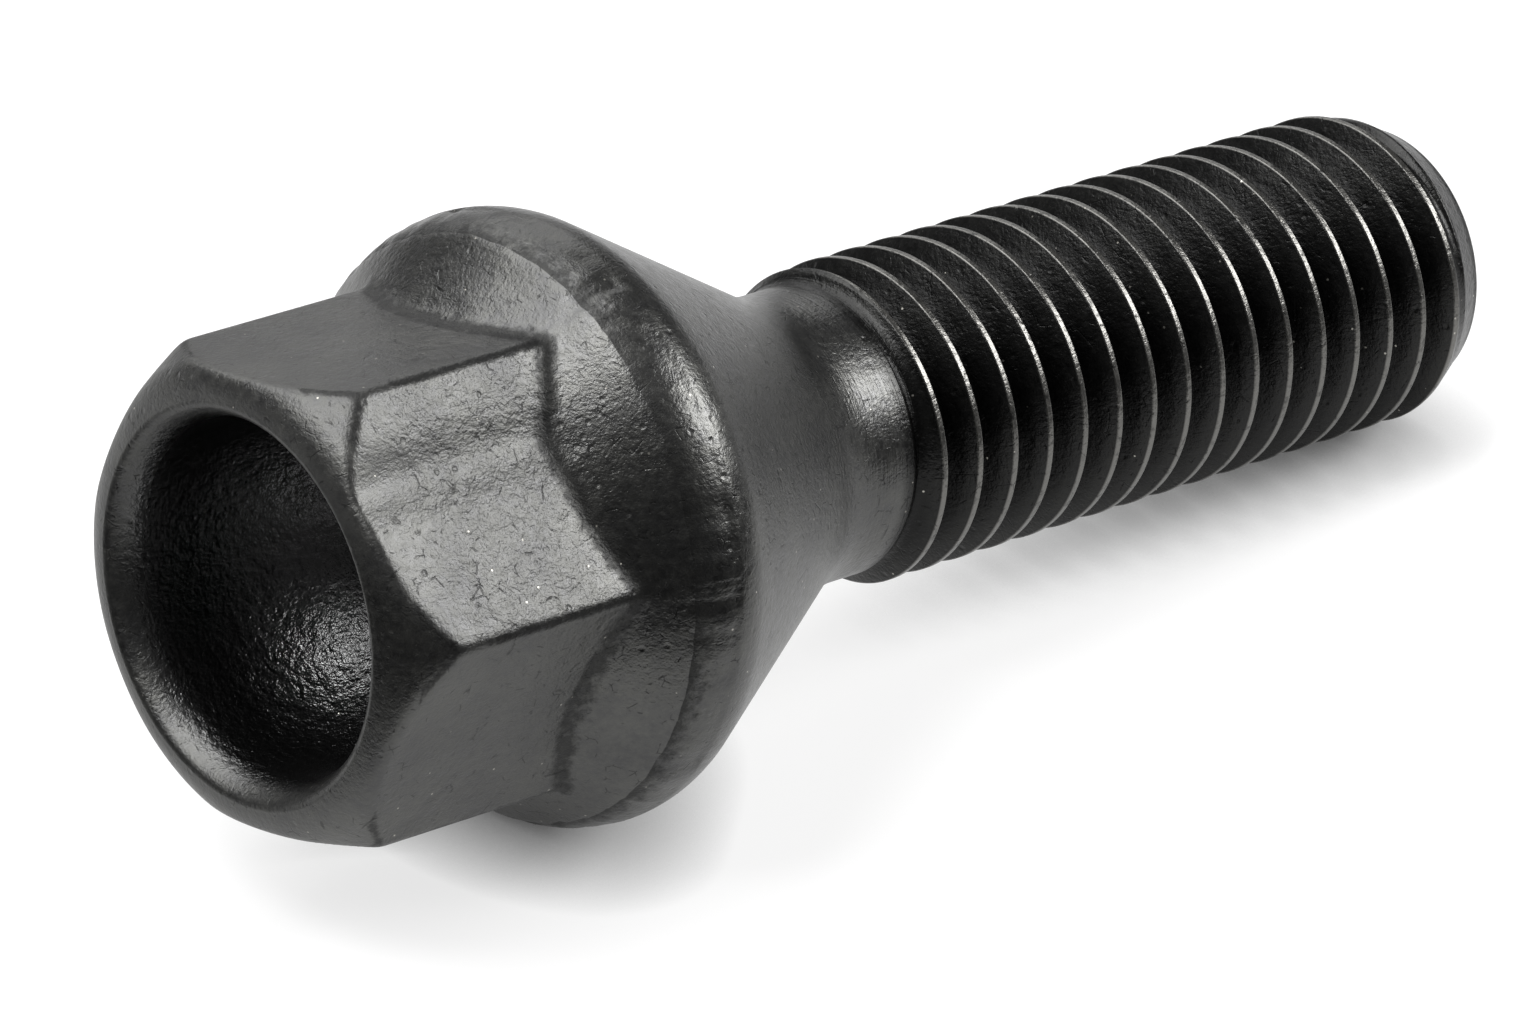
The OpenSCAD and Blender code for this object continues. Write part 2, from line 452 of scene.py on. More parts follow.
# %% Angle of each column, crowded at the hex corners as the rings are
even_turn = add_node(
    thread_tree, math_node, {0: column, 1: 2 * math.pi / COLUMNS}, operation="MULTIPLY"
).outputs[0]
six_times = add_node(
    thread_tree, math_node, {0: even_turn, 1: 6.0}, operation="MULTIPLY"
).outputs[0]
wave = add_node(thread_tree, math_node, {0: six_times}, operation="SINE").outputs[0]
sixth = add_node(
    thread_tree, math_node, {0: size["Crowding"], 1: -1 / 6}, operation="MULTIPLY"
).outputs[0]
angle = add_node(
    thread_tree, math_node, {0: wave, 1: sixth, 2: even_turn}, operation="MULTIPLY_ADD"
).outputs[0]
turns_round = add_node(
    thread_tree, math_node, {0: angle, 1: 2 * math.pi}, operation="DIVIDE"
).outputs[0]
print("columns move by up to", round(math.degrees(CROWDING / 6), 1), "deg towards the corners")

# %% Rows gathered at the crest, its edges and the root
HALF_TURN = (0, 0.045, 0.062, 0.082, 0.24, 0.4, 0.43, 0.46)
row_places = HALF_TURN + (0.5,) + tuple(1 - y for y in reversed(HALF_TURN))
turn_row = add_node(
    thread_tree, math_node, {0: row, 1: ROWS_PER_TURN}, operation="DIVIDE"
).outputs[0]
whole = add_node(thread_tree, math_node, {0: turn_row}, operation="FLOOR").outputs[0]
part = add_node(thread_tree, math_node, {0: turn_row, 1: whole}, operation="SUBTRACT").outputs[0]
gather = add_node(thread_tree, "ShaderNodeFloatCurve", {"Value": part})
curve = gather.mapping.curves[0]
while len(curve.points) < len(row_places):
    curve.points.new(0.5, 0.5)
for i, y in enumerate(row_places):
    curve.points[i].location = (i / ROWS_PER_TURN, y)
    curve.points[i].handle_type = "VECTOR"
gather.mapping.update()
print("rows of a turn at", [round(y, 3) for y in row_places], "of the pitch")

# %% Height of each point along its helix, kept between the first and last ring
gathered = add_node(
    thread_tree, math_node, {0: gather.outputs[0], 1: whole}, operation="ADD"
).outputs[0]
from_first = add_node(
    thread_tree, math_node, {0: gathered, 1: FIRST_TURN}, operation="ADD"
).outputs[0]
along = add_node(
    thread_tree, math_node, {0: from_first, 1: turns_round}, operation="ADD"
).outputs[0]
free_z = add_node(
    thread_tree,
    math_node,
    {0: along, 1: size["Pitch"], 2: size["Crest Z"]},
    operation="MULTIPLY_ADD",
).outputs[0]
z = add_node(
    thread_tree, "ShaderNodeClamp", {0: free_z, 1: size["From Z"], 2: size["To Z"]}
).outputs[0]
print("thread from", round(thread_from_z, 2), "to", round(thread_to_z, 2), "mm")

# %% How far each point lies from the nearest crest, in pitches
above = add_node(
    thread_tree, math_node, {0: z, 1: size["Crest Z"]}, operation="SUBTRACT"
).outputs[0]
pitches = add_node(
    thread_tree, math_node, {0: above, 1: size["Pitch"]}, operation="DIVIDE"
).outputs[0]
phase = add_node(
    thread_tree, math_node, {0: pitches, 1: turns_round}, operation="SUBTRACT"
).outputs[0]
off_crest = add_node(thread_tree, math_node, {0: phase, 1: 0.5}, operation="PINGPONG").outputs[0]
print("the crest's helix starts at", round(thread_sizes["Crest Z"], 2), "mm")

# %% Depth of the flank, which falls by root three for each step sideways
HALF_CREST = 1 / 16
past_flat = add_node(
    thread_tree, math_node, {0: off_crest, 1: HALF_CREST}, operation="SUBTRACT"
).outputs[0]
past_flat_mm = add_node(
    thread_tree, math_node, {0: past_flat, 1: size["Pitch"]}, operation="MULTIPLY"
).outputs[0]
down_flank = add_node(
    thread_tree, math_node, {0: past_flat_mm, 1: math.sqrt(3)}, operation="MULTIPLY"
).outputs[0]
flank = add_node(thread_tree, math_node, {0: down_flank, 1: 0.0}, operation="MAXIMUM").outputs[0]
print("crest flat", round(2 * HALF_CREST * PITCH, 2), "mm wide")

# %% Depth of the round root
to_root = add_node(thread_tree, math_node, {0: 0.5, 1: off_crest}, operation="SUBTRACT").outputs[0]
to_root_mm = add_node(
    thread_tree, math_node, {0: to_root, 1: size["Pitch"]}, operation="MULTIPLY"
).outputs[0]
aside = add_node(thread_tree, math_node, {0: to_root_mm, 1: 2.0}, operation="POWER").outputs[0]
root_sq = add_node(
    thread_tree, math_node, {0: size["Root Radius"], 1: 2.0}, operation="POWER"
).outputs[0]
left = add_node(thread_tree, math_node, {0: root_sq, 1: aside}, operation="SUBTRACT").outputs[0]
safe = add_node(thread_tree, math_node, {0: left, 1: 0.0}, operation="MAXIMUM").outputs[0]
sag = add_node(thread_tree, math_node, {0: safe}, operation="SQRT").outputs[0]
root_mid = add_node(
    thread_tree,
    math_node,
    {0: size["Groove Depth"], 1: size["Root Radius"]},
    operation="SUBTRACT",
).outputs[0]
root = add_node(thread_tree, math_node, {0: root_mid, 1: sag}, operation="ADD").outputs[0]
print("grooves", round(thread_sizes["Groove Depth"], 2), "mm deep")

# %% Flank or root, whichever is there
root_reach = add_node(
    thread_tree,
    math_node,
    {0: size["Root Radius"], 1: math.cos(math.radians(30))},
    operation="MULTIPLY",
).outputs[0]
in_root = add_node(
    thread_tree, math_node, {0: to_root_mm, 1: root_reach}, operation="LESS_THAN"
).outputs[0]
depth = add_node(thread_tree, "ShaderNodeMix", {0: in_root, 2: flank, 3: root}).outputs[0]
print("depth below the crest:", len(thread_tree.nodes), "nodes so far")

# %% [markdown]
# ## Run-out and thread end
# A rolled thread doesn't stop at once. At the neck the dies open, and the grooves run out over
# a millimetre. At the end the blank had a chamfer before it was rolled, so the last turn fades
# into a cone. Cutting the thread with a cone would leave a ragged edge. Here the depth is
# scaled down smoothly at both ends, and the smaller of thread and cone is taken, softly.

# %% Run-out at the neck
grown = add_node(
    thread_tree,
    "ShaderNodeMapRange",
    {"Value": z, "From Min": size["Run-out From Z"], "From Max": size["Run-out To Z"]},
    interpolation_type="SMOOTHSTEP",
).outputs[0]
land = add_node(
    thread_tree, "ShaderNodeMix", {0: grown, 2: size["Neck Radius"], 3: size["Major Radius"]}
).outputs[0]
grown_depth = add_node(
    thread_tree, math_node, {0: depth, 1: grown}, operation="MULTIPLY"
).outputs[0]
print("full thread from", round(thread_sizes["Run-out To Z"], 2), "mm")

# %% Fading grooves at the thread end
FADE_FROM = -0.6
FADE_TO = 0.9
fade_from, fade_to = (
    add_node(thread_tree, math_node, {0: size["Chamfer Z"], 1: step}, operation="ADD").outputs[0]
    for step in (FADE_FROM, FADE_TO)
)
faded = add_node(
    thread_tree,
    "ShaderNodeMapRange",
    {"Value": z, "From Min": fade_from, "From Max": fade_to, "To Min": 1.0, "To Max": 0.0},
    interpolation_type="SMOOTHSTEP",
).outputs[0]
real_depth = add_node(
    thread_tree, math_node, {0: grown_depth, 1: faded}, operation="MULTIPLY"
).outputs[0]
rolled_r = add_node(
    thread_tree, math_node, {0: land, 1: real_depth}, operation="SUBTRACT"
).outputs[0]
print("grooves fade over", FADE_TO - FADE_FROM, "mm at the thread end")

# %% Chamfer at the thread end
past = add_node(
    thread_tree, math_node, {0: z, 1: size["Chamfer Z"]}, operation="SUBTRACT"
).outputs[0]
fall = add_node(
    thread_tree, math_node, {0: past, 1: size["Chamfer Slope"]}, operation="MULTIPLY"
).outputs[0]
chamfer = add_node(
    thread_tree, math_node, {0: size["Major Radius"], 1: fall}, operation="SUBTRACT"
).outputs[0]
smooth_r = add_node(
    thread_tree, math_node, {0: rolled_r, 1: chamfer, 2: 0.1}, operation="SMOOTH_MIN"
).outputs[0]
print("chamfer slopes", round(math.degrees(math.atan(chamfer_slope)), 1), "deg from the axis")

# %% A slight unevenness of the crests
sine = add_node(thread_tree, math_node, {0: angle}, operation="SINE").outputs[0]
cosine = add_node(thread_tree, math_node, {0: angle}, operation="COSINE").outputs[0]
way = add_node(thread_tree, "ShaderNodeCombineXYZ", {0: cosine, 1: sine, 2: z}).outputs[0]
uneven = add_node(
    thread_tree, "ShaderNodeTexNoise", {"Vector": way, "Scale": 1.7, "Detail": 3.0}
).outputs[0]
centred = add_node(thread_tree, math_node, {0: uneven, 1: 0.5}, operation="SUBTRACT").outputs[0]
rough_land = add_node(
    thread_tree, math_node, {0: size["Crest Unevenness"], 1: grown}, operation="MULTIPLY"
).outputs[0]
rough_end = add_node(
    thread_tree, math_node, {0: rough_land, 1: faded}, operation="MULTIPLY"
).outputs[0]
r = add_node(
    thread_tree, math_node, {0: centred, 1: rough_end, 2: smooth_r}, operation="MULTIPLY_ADD"
).outputs[0]
print("crests uneven by", thread_sizes["Crest Unevenness"], "mm at most")

# %% Place on the helix, merged, with its material
x_place = add_node(thread_tree, math_node, {0: cosine, 1: r}, operation="MULTIPLY").outputs[0]
y_place = add_node(thread_tree, math_node, {0: sine, 1: r}, operation="MULTIPLY").outputs[0]
on_helix = add_node(
    thread_tree, "ShaderNodeCombineXYZ", {0: x_place, 1: y_place, 2: z}
).outputs[0]
wrapped = add_node(
    thread_tree, "GeometryNodeSetPosition", {"Geometry": grid, "Position": on_helix}
).outputs[0]
sewn = add_node(
    thread_tree, "GeometryNodeMergeByDistance", {"Geometry": wrapped, "Distance": 0.002}
).outputs[0]
real = add_node(thread_tree, "GeometryNodeRealizeInstances", {"Geometry": sewn}).outputs[0]
dressed = add_node(
    thread_tree, "GeometryNodeSetMaterial", {"Geometry": real, "Material": size["Steel"]}
).outputs[0]
add_node(thread_tree, "NodeGroupOutput", {"Geometry": dressed})
print("thread tree with", len(thread_tree.nodes), "nodes")

# %% [markdown]
# ## Finish: black phosphated steel, oiled
# Forged carbon steel with a phosphate coat, blackened and oiled. The coat is a thin layer of
# dark crystals over metal, so the eye sees it nearly black, satin rather than shiny, and finely
# speckled. It could be a dark dielectric, but its highlights are broad and grey like a metal's,
# so it is a metal with a dark colour.
# Patterns read the place on the bolt in millimetres, so each one has its real size.

# %% Colours
def from_hex(code):
    """An sRGB hex colour as the linear colour a shader takes."""
    parts = [int(code[i : i + 2], 16) / 255 for i in (1, 3, 5)]
    linear = [c / 12.92 if c <= 0.04045 else ((c + 0.055) / 1.055) ** 2.4 for c in parts]
    return (*linear, 1.0)


COAT_DARK = from_hex("#4b4b4b")
COAT_LIGHT = from_hex("#585856")
# near black for residue, for painted shade at corners, fillets, grooves and thread, and cracks
RESIDUE_AND_SHADE_BLACK = from_hex("#1e1e1e")
RECESS_COAT = from_hex("#5c5c5c")
BURNISHED = from_hex("#706f6c")
DUST = from_hex("#b9b6ae")
print("coat from", round(COAT_DARK[0], 3), "to", round(COAT_LIGHT[0], 3), "linear")

# %% Places on the bolt in millimetres
steel = bpy.data.materials.new("black phosphated steel")
steel.use_nodes = True
steel_tree = steel.node_tree
steel_tree.nodes.clear()
object_place = add_node(steel_tree, "ShaderNodeTexCoord").outputs["Object"]
bolt_mm = add_node(
    steel_tree, "ShaderNodeMapping", {"Vector": object_place, "Scale": (1000, 1000, 1000)}
).outputs[0]
across = add_node(steel_tree, "ShaderNodeSeparateXYZ", {0: bolt_mm}).outputs
height = across[2]
flat_place = add_node(steel_tree, "ShaderNodeCombineXYZ", {0: across[0], 1: across[1]}).outputs[0]
from_axis = add_node(
    steel_tree, "ShaderNodeVectorMath", {0: flat_place}, operation="LENGTH"
).outputs["Value"]
recess_part = add_node(steel_tree, "ShaderNodeAttribute", attribute_name="recess").outputs["Fac"]
# share of residue and painted shade, laid on the rings
grime_and_shade_part = add_node(steel_tree, "ShaderNodeAttribute", attribute_name="grime_and_shade").outputs["Fac"]
print("places in millimetres from", len(steel_tree.nodes), "nodes")

# %% Two stretched places: along the bolt for drag marks, by height alone for turned rings
DRAG_STRETCH = 4
along_bolt = add_node(
    steel_tree,
    "ShaderNodeMapping",
    {"Vector": bolt_mm, "Rotation": (0.0, 0.5, 0.2), "Scale": (1, 1, 1 / DRAG_STRETCH)},
).outputs[0]
ring_place = add_node(steel_tree, "ShaderNodeCombineXYZ", {2: height}).outputs[0]
print("drag marks", DRAG_STRETCH, "times as long as wide")

# %% [markdown]
# ### Noise at the sizes of the real marks
# A forged surface is uneven at many sizes at once: dents of two millimetres, scale of half a
# millimetre, crystals too small to see. One noise with much detail gives all sizes at the same
# strength. Separate noises can each be given their own place and height, so a table lists them
# with the width of their patches, and one loop makes them.

# %% Noises: width of a patch in mm, detail, roughness and place
# The coat's real crystals are 0.01 to 0.03 mm wide. They are drawn at 0.1 mm, so that they show.
noise_sizes = {
    "patches": (2.5, 4.0, 0.6, bolt_mm),
    "blotches": (0.35, 3.0, 0.7, bolt_mm),
    "crystals": (0.1, 1.0, 0.55, bolt_mm),
    # ragged edge of the residue and painted shade
    "residue edge": (0.5, 4.0, 0.75, bolt_mm),
    "coat left on crests": (0.5, 3.0, 0.7, bolt_mm),
    "cracked places": (0.6, 2.0, 0.6, bolt_mm),
    "drag marks": (0.16, 2.0, 0.6, along_bolt),
    "turned rings": (0.15, 2.0, 0.6, ring_place),
    "wrinkles": (0.33, 3.0, 0.65, bolt_mm),
    "forge scale": (0.4, 3.0, 0.65, bolt_mm),
    "clouds": (1.1, 2.0, 0.5, bolt_mm),
    "dents": (2.2, 3.0, 0.5, bolt_mm),
    "grain": (0.17, 2.0, 0.6, bolt_mm),
}
noises = {}
for name, (width, detail, roughness, where) in noise_sizes.items():
    settings = {"Vector": where, "Scale": 1 / width, "Detail": detail, "Roughness": roughness}
    noises[name] = add_node(steel_tree, "ShaderNodeTexNoise", settings).outputs[0]
print(len(noises), "noises, from", min(s[0] for s in noise_sizes.values()), "mm up")

# %% Cells: dust and cracks 0.8 mm apart, pits 0.9 mm apart
DUST_PER_MM = 1.3
CRACKS_PER_MM = 1.3
PITS_PER_MM = 1.1
dust_cells = add_node(
    steel_tree, "ShaderNodeTexVoronoi", {"Vector": bolt_mm, "Scale": DUST_PER_MM}
).outputs
crack_cells = add_node(
    steel_tree,
    "ShaderNodeTexVoronoi",
    {"Vector": bolt_mm, "Scale": CRACKS_PER_MM},
    feature="DISTANCE_TO_EDGE",
).outputs["Distance"]
pit_cells = add_node(
    steel_tree,
    "ShaderNodeTexVoronoi",
    {"Vector": bolt_mm, "Scale": PITS_PER_MM, "Smoothness": 0.3},
    feature="SMOOTH_F1",
).outputs["Distance"]
print("pits", round(1 / PITS_PER_MM, 2), "mm apart, cracks", round(1 / CRACKS_PER_MM, 2), "mm")

# %% Mottle, the residue's ragged edge, and which cells hold dust
DUST_FREE = 0.4
mottle = add_node(
    steel_tree, "ShaderNodeMix", {0: 0.55, 2: noises["patches"], 3: noises["blotches"]}
).outputs[0]
# ragged edge of the residue and painted shade
ragged = add_node(
    steel_tree,
    math_node,
    {0: noises["residue edge"], 1: 1.6, 2: grime_and_shade_part},
    operation="MULTIPLY_ADD",
).outputs[0]
dust_pick = add_node(
    steel_tree, "ShaderNodeSeparateColor", {0: dust_cells["Color"]}
).outputs[0]
has_dust = add_node(
    steel_tree, math_node, {0: dust_pick, 1: DUST_FREE}, operation="GREATER_THAN"
).outputs[0]
print("dust in", round(100 * (1 - DUST_FREE)), "% of its cells")

# %% [markdown]
# ### Where each mark lies
# Each mark of making or wear, and each painted shade, has its own place. Crests are burnished
# where the rolling die and other threads rubbed them. The grooves are painted near black and the
# whole thread darker, as oil and coat and as painted shade between the flanks. Scale stays on
# the forged head, and the neck keeps fine turned rings. Painting a mask by hand would tie it to
# one picture. Here each place is a value between two limits, of a height, a distance from the
# axis or a pattern, and one loop turns the table into nodes.

# %% Shares: a value, its two limits, and the share at each of them
share_limits = {
    "light coat": (mottle, 0.38, 0.62, 0.0, 1.0),
    # the next two make the ragged mask of residue and painted shade
    "ragged residue": (ragged, 1.2, 1.65, 0.0, 1.0),
    "any residue": (grime_and_shade_part, 0.0, 0.15, 0.0, 1.0),
    "thread": (height, 26.6, 27.4, 0.0, 1.0),
    "below the crests": (from_axis, 5.85, 5.2, 0.0, 1.0),
    "on a crest": (from_axis, 5.955, 5.995, 0.0, 1.0),
    "rubbed crest": (noises["coat left on crests"], 0.25, 0.45, 0.0, 1.0),
    "dust speck": (dust_cells["Distance"], 0.035, 0.07, 1.0, 0.0),
    "crack line": (crack_cells, 0.015, 0.04, 1.0, 0.0),
    "cracked place": (noises["cracked places"], 0.56, 0.62, 0.0, 1.0),
    "drag mark": (noises["drag marks"], 0.28, 0.4, 0.0, 1.0),
    "neck from": (height, 22.5, 26.4, 0.0, 1.0),
    "neck to": (height, 27.9, 27.4, 0.0, 1.0),
    "pit": (pit_cells, 0.04, 0.16, 0.0, 1.0),
    "forged head": (height, 11.0, 9.5, 0.0, 1.0),
    "past the lip": (height, 1.8, 4.0, 0.0, 1.0),
    "blotched roughness": (noises["blotches"], 0.3, 0.7, 0.3, 0.4),
    "duller head": (height, 8.5, 10.5, 0.08, 0.0),
}
shares = {}
for name, (value, low, high, at_low, at_high) in share_limits.items():
    ends = {"From Min": low, "From Max": high, "To Min": at_low, "To Max": at_high}
    inputs = {"Value": value, **ends}
    shares[name] = add_node(steel_tree, "ShaderNodeMapRange", inputs).outputs[0]
print(len(shares), "shares")

# %% Two shares at once: a mark that is only in a certain place
overlaps = {
    "residue_and_shade": ("ragged residue", "any residue"),
    "groove": ("below the crests", "thread"),
    "crest": ("on a crest", "thread"),
    "burnish": ("crest", "rubbed crest"),
    "crack": ("crack line", "cracked place"),
    "neck": ("neck from", "neck to"),
    "head": ("forged head", "past the lip"),
}
for name, (one, other) in overlaps.items():
    inputs = {0: shares[one], 1: shares[other]}
    shares[name] = add_node(steel_tree, math_node, inputs, operation="MULTIPLY").outputs[0]
dust_inputs = {0: shares["dust speck"], 1: has_dust}
shares["dust"] = add_node(steel_tree, math_node, dust_inputs, operation="MULTIPLY").outputs[0]
print("marks with a place of their own:", ", ".join(overlaps))

# %% [markdown]
# ### Colour
# The colour is built in layers: a mottled coat, a greyer one where the punch rubbed the recess,
# dark residue and painted shade at the corners, fillets and collar edge, grooves and the whole
# thread painted darker as oil and as painted shade between the flanks, bare steel on the crests,
# a few specks of dust 0.1 mm wide, and fine cracks. A long chain of mixes can be written out, but
# a table of layers from the bottom up says the same and is easy to change.

# %% Layers of colour: where, how dense, and which colour
layers = (
    (shares["light coat"], 1.0, COAT_LIGHT),
    (recess_part, 1.0, RECESS_COAT),
    # residue and painted shade at the hex corners, the fillets and the collar's edge
    (shares["residue_and_shade"], 0.65, RESIDUE_AND_SHADE_BLACK),
    # oil and coat in the grooves, and painted shade between the flanks
    (shares["groove"], 0.85, RESIDUE_AND_SHADE_BLACK),
    # the whole thread painted darker: painted shade between its flanks
    (shares["thread"], 0.75, RESIDUE_AND_SHADE_BLACK),
    (shares["burnish"], 0.8, BURNISHED),
    (shares["dust"], 0.8, DUST),
    (shares["crack"], 0.5, RESIDUE_AND_SHADE_BLACK),
)
colour = COAT_DARK
for share, density, layer in layers:
    cover = add_node(steel_tree, math_node, {0: share, 1: density}, operation="MULTIPLY").outputs[0]
    colour = add_node(
        steel_tree, "ShaderNodeMix", {0: cover, 6: colour, 7: layer}, data_type="RGBA"
    ).outputs[2]
print(len(layers), "layers of colour")

# %% [markdown]
# ### Roughness
# The forged head is a little duller than the turned collar and neck. The punch left the recess
# smoother, residue and painted shade are dull, and a rubbed crest keeps its satin. A picture
# could hold these values, but the shares are already there, so each place is given its own
# value in turn.

# %% Layers of roughness: where, and which value
rough = add_node(
    steel_tree,
    math_node,
    {0: shares["blotched roughness"], 1: shares["duller head"]},
    operation="ADD",
).outputs[0]
rough_layers = ((recess_part, 0.27), (shares["residue_and_shade"], 0.5), (shares["burnish"], 0.33))
for share, value in rough_layers:
    rough = add_node(steel_tree, "ShaderNodeMix", {0: share, 2: rough, 3: value}).outputs[0]
print(len(rough_layers) + 1, "layers of roughness")

# %% [markdown]
# ### Small relief
# Dents, scale, pits 0.2 mm wide, drag marks 0.6 mm long, wrinkles in the punched recess and
# rings 0.15 mm apart on the neck are all under a tenth of a millimetre high. As a mesh they
# would take millions of faces, and they never show in the outline, so they are bumps. Each bump
# stands on the one before it, and its height is given in metres, as it is on the real bolt.

# %% Relief that stays in its place
placed = {
    "forge scale": (noises["forge scale"], shares["head"]),
    "clouds": (noises["clouds"], shares["head"]),
    "wrinkles": (noises["wrinkles"], recess_part),
    "turned rings": (noises["turned rings"], shares["neck"]),
}
relief = {
    name: add_node(steel_tree, math_node, {0: one, 1: other}, operation="MULTIPLY").outputs[0]
    for name, (one, other) in placed.items()
}
print(len(relief), "reliefs that keep to their place")

# %% Bumps, one on another
bumps = (
    (noises["dents"], 0.00004),
    (noises["blotches"], 0.00002),
    (noises["grain"], 0.000018),
    (relief["forge scale"], 0.00004),
    (relief["clouds"], 0.00006),
    (noises["crystals"], 0.000005),
    (shares["drag mark"], 0.000004),
    (shares["pit"], 0.000018),
    (shares["crack"], -0.000006),
    (relief["wrinkles"], 0.00008),
    (relief["turned rings"], 0.00003),
)
normal = None
for pattern, bump_height in bumps:
    inputs = {"Strength": 1.0, "Distance": bump_height, "Height": pattern}
    if normal is not None:
        inputs["Normal"] = normal
    normal = add_node(steel_tree, "ShaderNodeBump", inputs).outputs[0]
print(len(bumps), "bumps")

# %% Shader
shader = add_node(
    steel_tree,
    "ShaderNodeBsdfPrincipled",
    {"Base Color": colour, "Roughness": rough, "Normal": normal, "Metallic": 1.0},
).outputs[0]
add_node(steel_tree, "ShaderNodeOutputMaterial", {"Surface": shader})
print("steel with", len(steel_tree.nodes), "nodes")

# %% [markdown]
# ## One closed mesh
# The real bolt is one piece of steel, so its skin has no seam. The rings and the thread could
# stay two objects that touch, but light would leak between them. They meet at two rings that
# they share point for point, so merging those gives one closed skin.

# %% Run the thread tree
thread = bpy.data.objects.new("thread", bpy.data.meshes.new("thread"))
bpy.context.scene.collection.objects.link(thread)
thread_modifier = thread.modifiers.new("rolled thread", "NODES")
thread_modifier.node_group = thread_tree
for item in thread_tree.interface.items_tree:
    if item.in_out == "INPUT" and item.name in thread_sizes:
        thread_modifier[item.identifier] = float(thread_sizes[item.name])
    if item.in_out == "INPUT" and item.name == "Steel":
        thread_modifier[item.identifier] = steel
depsgraph = bpy.context.evaluated_depsgraph_get()
thread_mesh = bpy.data.meshes.new_from_object(thread.evaluated_get(depsgraph))
thread_points = np.empty(len(thread_mesh.vertices) * 3)
thread_mesh.vertices.foreach_get("co", thread_points)
thread_points = thread_points.reshape(-1, 3)
thread_faces = [tuple(p.vertices) for p in thread_mesh.polygons]
thread.modifiers.remove(thread_modifier)
bpy.data.objects.remove(thread)
print("thread:", len(thread_points), "points,", len(thread_faces), "faces")

# %% Rings to points and faces
ring_points = np.concatenate(
    [np.stack([r * np.cos(turn), r * np.sin(turn), z * ones], 1) for z, r, _, _ in rings]
)
poles = np.array([[0, 0, bowl_z + bowl_r], [0, 0, TOTAL_L]])
ring_faces = []
for n in range(len(rings) - 1):
    if n == neck_rings - 1:
        continue
    low, high = n * COLUMNS, (n + 1) * COLUMNS
    for i in range(COLUMNS):
        j = (i + 1) % COLUMNS
        ring_faces.append((low + i, low + j, high + j, high + i))
last = (len(rings) - 1) * COLUMNS
pole = len(ring_points)
for i in range(COLUMNS):
    j = (i + 1) % COLUMNS
    ring_faces.append((pole, j, i))
    ring_faces.append((last + i, last + j, pole + 1))
print("rings:", len(ring_points), "points,", len(ring_faces), "faces")

# %% Join the two, with the shares of recess finish and of residue and painted shade on every point
points = np.concatenate([ring_points, poles, thread_points])
first_thread = len(ring_points) + 2
faces = ring_faces + [tuple(k + first_thread for k in f) for f in thread_faces]
skin_mesh = bpy.data.meshes.new("wheel_bolt_skin")
skin_mesh.from_pydata(points.tolist(), [], faces)
plain_thread = np.zeros(len(thread_points))
masks = {
    "recess": np.concatenate([m for _, _, m, _ in rings] + [[1, 0], plain_thread]),
    # share of residue and painted shade on each point
    "grime_and_shade": np.concatenate([m for _, _, _, m in rings] + [[0, 0], plain_thread]),
}
for name, values in masks.items():
    layer = skin_mesh.attributes.new(name, "FLOAT", "POINT")
    layer.data.foreach_set("value", values.astype(np.float32))
print("joined:", len(points), "points")

# %% Merge, turn the faces outwards, and check that the skin is closed
work = bmesh.new()
work.from_mesh(skin_mesh)
bmesh.ops.remove_doubles(work, verts=work.verts, dist=0.002)
bmesh.ops.dissolve_degenerate(work, edges=work.edges, dist=0.0005)
bmesh.ops.recalc_face_normals(work, faces=work.faces)
open_edges = sum(1 for e in work.edges if len(e.link_faces) != 2)
triangles = sum(len(f.verts) - 2 for f in work.faces)
volume = work.calc_volume(signed=True)
print("open edges:", open_edges, "triangles:", triangles, "volume mm3:", round(volume, 1))

# %% To metres, into the scene
bmesh.ops.scale(work, vec=(0.001, 0.001, 0.001), verts=work.verts)
for face in work.faces:
    face.smooth = True
work.to_mesh(skin_mesh)
work.free()
bolt = bpy.data.objects.new("wheel_bolt_skin", skin_mesh)
bpy.context.scene.collection.objects.link(bolt)
skin_mesh.materials.append(steel)
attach(bolt, "root")
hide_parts("wheel_bolt")
print("bolt", round(bolt.dimensions.z * 1000, 2), "mm tall")

# %% [markdown]
# ## Table
# The bolt lies on matt white paper that runs out to all sides. White paper under studio light is
# brighter than the picture can hold. More light would do that too, but it would burn out the
# bolt. So the paper scatters the light, which keeps the bolt's shadow, and a part of its white
# is its own. An ambient occlusion test darkens that own white within a few millimetres of the
# bolt, which paints a contact shadow round it. From behind, the paper is clear, so the bolt can
# be seen from all sides.

# %% Table top
TABLE_HALF = 1.5
table_corners = [(-1, -1), (1, -1), (1, 1), (-1, 1)]
table_mesh = bpy.data.meshes.new("table")
table_mesh.from_pydata(
    [(x * TABLE_HALF, y * TABLE_HALF, 0) for x, y in table_corners], [], [(0, 1, 2, 3)]
)
table_top = bpy.data.objects.new("table", table_mesh)
bpy.context.scene.collection.objects.link(table_top)
table_top.matrix_world = from_table
print("table", 2 * TABLE_HALF, "m wide")

# %% White paper: what it scatters, and its own white with a painted contact shadow
PAPER_GREY = from_hex("#909090")
OWN_WHITE = 0.76
PAINTED_SHADOW_REACH = 0.0035
WHITE = from_hex("#ffffff")
paper = bpy.data.materials.new("white paper")
paper.use_nodes = True
paper_tree = paper.node_tree
paper_tree.nodes.clear()
plain = add_node(paper_tree, "ShaderNodeBsdfDiffuse", {"Color": PAPER_GREY}).outputs[0]
